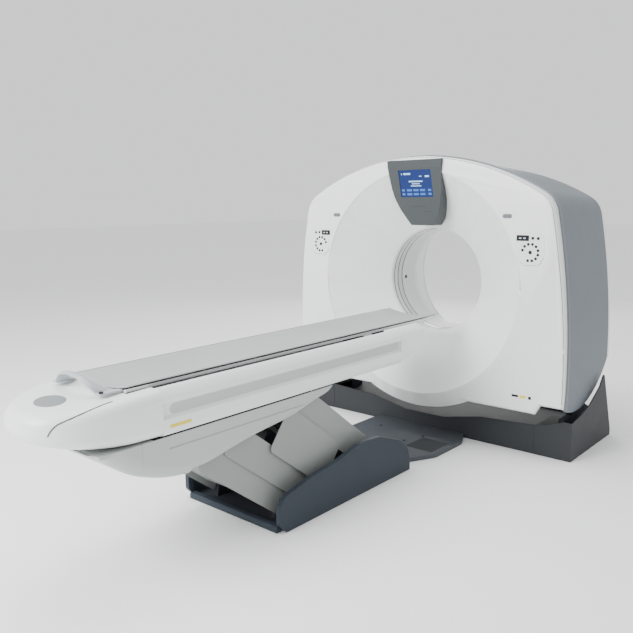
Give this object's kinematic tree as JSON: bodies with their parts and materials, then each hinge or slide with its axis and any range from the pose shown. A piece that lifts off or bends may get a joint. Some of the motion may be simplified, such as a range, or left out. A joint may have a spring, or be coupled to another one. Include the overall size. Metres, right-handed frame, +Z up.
{
  "type": "ct scanner",
  "caption": "Tilting ring-shaped imaging gantry with a rotor inside, and a patient table that lifts on a leaning leg, shifts and slides its padded cradle into the bore.",
  "frame": {"origin": "on the floor straight below the middle of the bore and scan plane", "axes": "+Z up, +Y along the bore from the table's side to the rear, +X to the right seen from the table"},
  "size_m": [2.072, 3.658, 1.853],
  "materials": {
    "cover_white": "satin",
    "cover_blue_grey": "satin",
    "trim_grey": "satin",
    "base_charcoal": "satin",
    "frame_paint": "satin",
    "bare_steel": "satin",
    "aluminium": "satin",
    "table_slate": "satin",
    "housing_white": "satin",
    "boat_grey": "satin",
    "slat_grey": "satin",
    "console_dark": "satin",
    "screen_dark": "gloss",
    "panel_grey": "matte",
    "key_grey": "matte",
    "key_dark": "matte",
    "window_grey": "gloss",
    "floor_plate": "matte",
    "pad_grey": "matte",
    "board_dark": "matte",
    "rubber": "matte"
  },
  "bodies": {
    "base": {"gantry_base_frame": "frame_paint", "base_corner_cover_left": "base_charcoal", "base_corner_cover_right": "base_charcoal", "base_front_cover": "base_charcoal", "base_rear_cover": "base_charcoal", "gearmotors": "frame_paint", "anchor_bolts": "bare_steel", "table_base_frame": "frame_paint", "table_base_covers": "table_slate", "docking_plate": "floor_plate", "docking_fittings": "panel_grey"},
    "head": {"tilting_frame": "aluminium", "bearing_outer_ring": "bare_steel", "bore_liner": "cover_white", "scan_window": "window_grey", "laser_windows": "key_dark", "front_cover": "cover_white", "edge_trim": "trim_grey", "side_cover_left": "cover_blue_grey", "side_cover_right": "cover_blue_grey", "top_cover": "cover_blue_grey", "belly_cover": "cover_blue_grey", "rear_cover": "cover_white", "display_console": "console_dark", "display_screens": "screen_dark", "control_panels": "panel_grey", "ring_keypads": "key_grey"},
    "rotor": {"rotor_drum": "aluminium", "bearing_inner_ring": "bare_steel", "slip_ring": "board_dark", "xray_tube": "bare_steel", "collimator": "frame_paint", "detector_array": "frame_paint", "rotor_modules": "frame_paint"},
    "rear_link": {"lift_link_rear": "frame_paint", "leg_slat_rear": "slat_grey"},
    "front_link": {"lift_link_front": "frame_paint", "leg_slat_front": "slat_grey"},
    "main_slat": {"leg_slat_main": "slat_grey"},
    "middle_slat": {"leg_slat_middle": "slat_grey"},
    "carrier": {"carrier_frame": "frame_paint", "boat_cover": "boat_grey", "boat_foot_cap": "boat_grey"},
    "housing": {"top_housing": "housing_white", "housing_head_cap": "housing_white", "foot_nose": "housing_white", "foot_cap": "housing_white", "cradle_drive": "frame_paint"},
    "cradle": {"cradle_board": "board_dark", "mattress_pad": "pad_grey", "cradle_handle": "housing_white"},
    "handle_key": {"release_key": "key_dark"},
    "head_roller": {"support_roller": "rubber"},
    "friction_wheel": {"drive_wheel": "rubber"},
    "centre_key_left_body": {"centre_key_left": "key_grey"},
    "centre_key_right_body": {"centre_key_right": "key_grey"},
    "inner_key_left_body": {"inner_key_left": "key_grey"},
    "inner_key_right_body": {"inner_key_right": "key_grey"},
    "outer_key_left_body": {"outer_key_left": "key_grey"},
    "outer_key_right_body": {"outer_key_right": "key_grey"}
  },
  "joints": [
    {"name": "gantry_tilt", "type": "hinge", "parent": "base", "child": "head", "pos_m": [0, 0, 1.03], "axis": [-1, 0, 0], "range_deg": [-30, 30]},
    {"name": "rotor_spin", "type": "hinge", "parent": "head", "child": "rotor", "pos_m": [0, 0, 1.03], "axis": [0, 1, 0], "continuous": true},
    {"name": "table_lift", "type": "hinge", "parent": "base", "child": "rear_link", "pos_m": [0, -1.25, 0.165], "axis": [-1, 0, 0], "range_deg": [-31, 16]},
    {"name": "front_link_swing", "type": "hinge", "parent": "base", "child": "front_link", "pos_m": [0, -1.864, 0.1], "axis": [-1, 0, 0], "range_deg": [-31, 16]},
    {"name": "main_slat_swing", "type": "hinge", "parent": "base", "child": "main_slat", "pos_m": [0, -1.546, 0.17], "axis": [-1, 0, 0], "range_deg": [-31, 16]},
    {"name": "middle_slat_swing", "type": "hinge", "parent": "base", "child": "middle_slat", "pos_m": [0, -1.71, 0.12], "axis": [-1, 0, 0], "range_deg": [-31, 16]},
    {"name": "carrier_level", "type": "hinge", "parent": "rear_link", "child": "carrier", "pos_m": [0, -1.8046, 0.5921], "axis": [-1, 0, 0], "range_deg": [-16, 31]},
    {"name": "housing_slide", "type": "slide", "parent": "carrier", "child": "housing", "axis": [0, 1, 0], "range_m": [0, 0.15]},
    {"name": "cradle_slide", "type": "slide", "parent": "housing", "child": "cradle", "axis": [0, 1, 0], "range_m": [0, 1.65]},
    {"name": "support_roller_spin", "type": "hinge", "parent": "housing", "child": "head_roller", "pos_m": [0, -0.74, 0.7636], "axis": [-1, 0, 0], "continuous": true},
    {"name": "drive_wheel_spin", "type": "hinge", "parent": "housing", "child": "friction_wheel", "pos_m": [0, -1.02, 0.7636], "axis": [-1, 0, 0], "continuous": true},
    {"name": "handle_key_press", "type": "slide", "parent": "cradle", "child": "handle_key", "axis": [0, 0, -1], "range_m": [0, 0.0015], "stiffness_N_per_m": 900},
    {"name": "centre_key_left_press", "type": "slide", "parent": "head", "child": "centre_key_left_body", "axis": [0, 1, 0], "range_m": [0, 0.0015], "stiffness_N_per_m": 900},
    {"name": "centre_key_right_press", "type": "slide", "parent": "head", "child": "centre_key_right_body", "axis": [0, 1, 0], "range_m": [0, 0.0015], "stiffness_N_per_m": 900},
    {"name": "inner_key_left_press", "type": "slide", "parent": "head", "child": "inner_key_left_body", "axis": [0, 1, 0], "range_m": [0, 0.0015], "stiffness_N_per_m": 900},
    {"name": "inner_key_right_press", "type": "slide", "parent": "head", "child": "inner_key_right_body", "axis": [0, 1, 0], "range_m": [0, 0.0015], "stiffness_N_per_m": 900},
    {"name": "outer_key_left_press", "type": "slide", "parent": "head", "child": "outer_key_left_body", "axis": [0, 1, 0], "range_m": [0, 0.0015], "stiffness_N_per_m": 900},
    {"name": "outer_key_right_press", "type": "slide", "parent": "head", "child": "outer_key_right_body", "axis": [0, 1, 0], "range_m": [0, 0.0015], "stiffness_N_per_m": 900}
  ],
  "couplings": [
    {"joint": "front_link_swing", "follows": "table_lift", "ratio": 1},
    {"joint": "main_slat_swing", "follows": "table_lift", "ratio": 1},
    {"joint": "middle_slat_swing", "follows": "table_lift", "ratio": 1},
    {"joint": "carrier_level", "follows": "table_lift", "ratio": -1},
    {"joint": "support_roller_spin", "follows": "cradle_slide", "rad_per_m": 41},
    {"joint": "drive_wheel_spin", "follows": "cradle_slide", "rad_per_m": 41}
  ]
}
